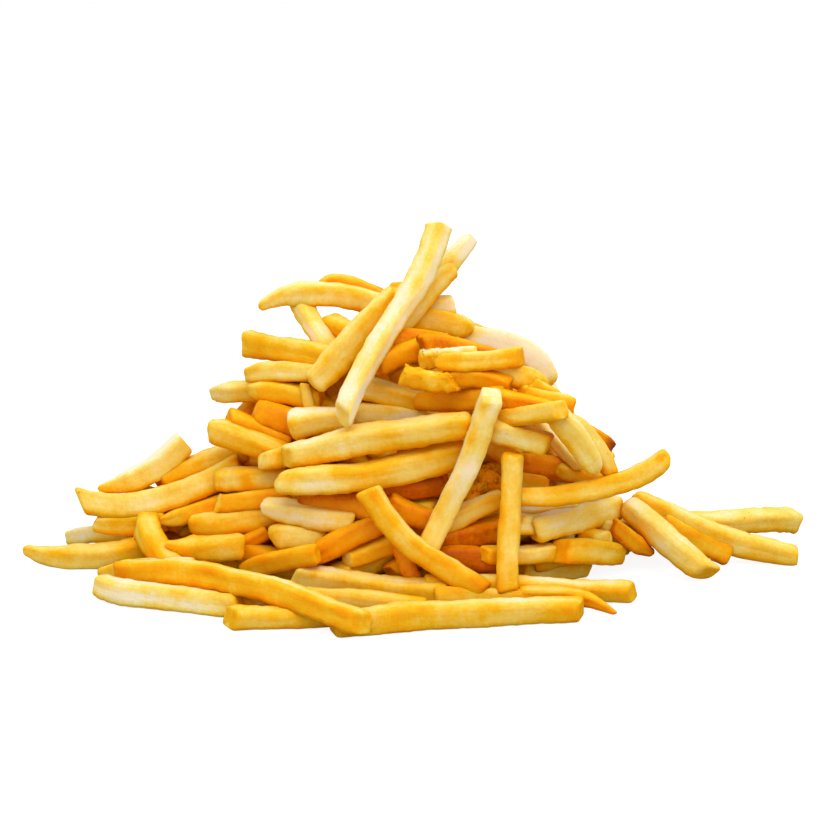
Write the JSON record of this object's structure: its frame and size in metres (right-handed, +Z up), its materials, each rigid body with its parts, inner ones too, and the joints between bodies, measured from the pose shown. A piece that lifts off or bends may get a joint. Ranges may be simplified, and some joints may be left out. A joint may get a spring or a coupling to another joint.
{
  "type": "heap of french fries",
  "caption": "Loose heap of straight and slightly bent French fries lying on a table, long and low at both sides, with a peak of crossed fries in the middle; fused into one solid.",
  "frame": {"origin": "on the table under the middle of the heap's outline", "axes": "+X along the heap's long way, towards its right end as it is seen from the front; +Y away from the front; +Z up"},
  "size_m": [0.2582, 0.154, 0.1095],
  "materials": {
    "fried_potato": "golden fried potato with browned edges and ends, a light sheen of oil"
  },
  "bodies": {
    "root": {"fries_heap": "fried_potato"}
  },
  "joints": []
}
